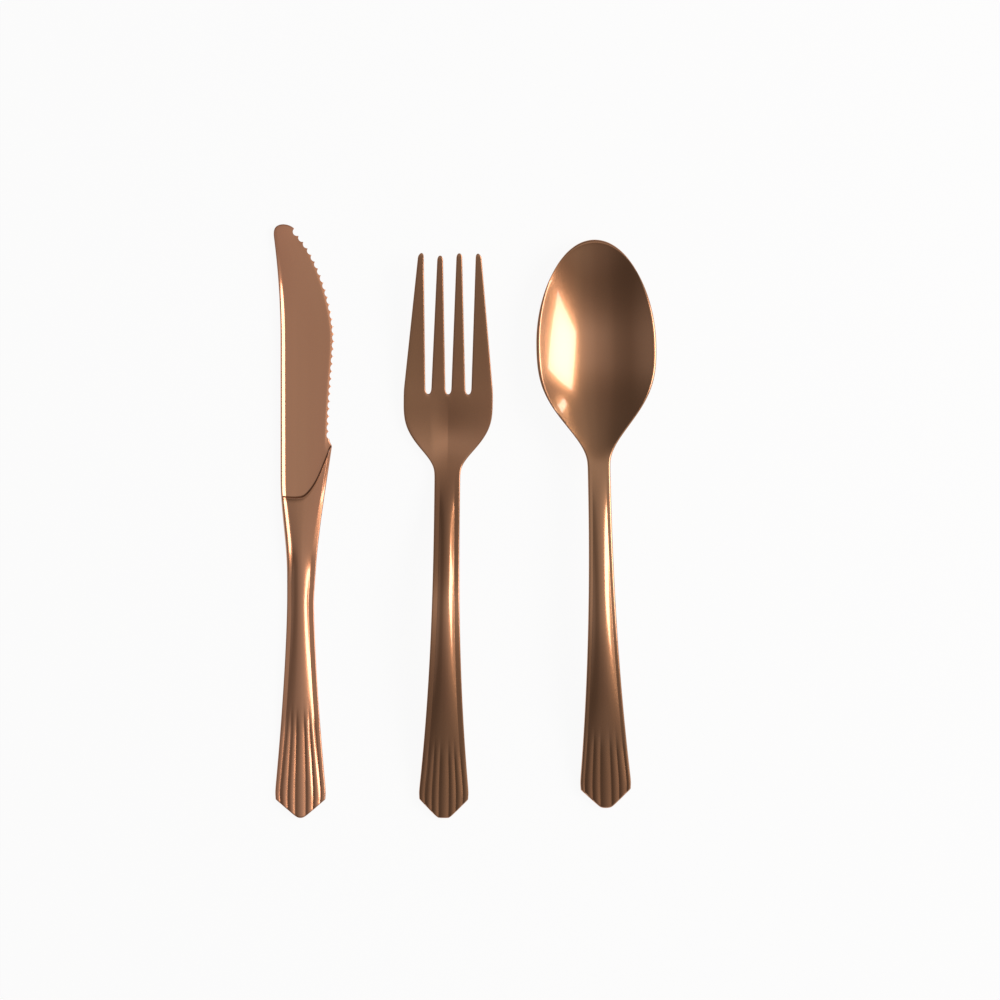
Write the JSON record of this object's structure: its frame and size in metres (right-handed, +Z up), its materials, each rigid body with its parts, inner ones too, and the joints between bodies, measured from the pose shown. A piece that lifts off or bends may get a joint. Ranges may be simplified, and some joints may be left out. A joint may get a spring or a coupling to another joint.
{
  "type": "plastic cutlery pack",
  "caption": "Metallic copper-brown plastic knife, fork and spoon with arched, fan-ended fluted handles, laid side by side as a table setting.",
  "frame": {"origin": "centre of the set's footprint, on the plane it rests on", "axes": "+Y along the handles towards the blade, tines and bowl, +X from the knife across to the spoon, +Z up out of the table"},
  "size_m": [0.1226, 0.19, 0.0135],
  "materials": {
    "copper_plastic": "gloss, metallic copper-brown"
  },
  "bodies": {
    "root": {"knife": "copper_plastic", "fork": "copper_plastic", "spoon": "copper_plastic"}
  },
  "joints": []
}
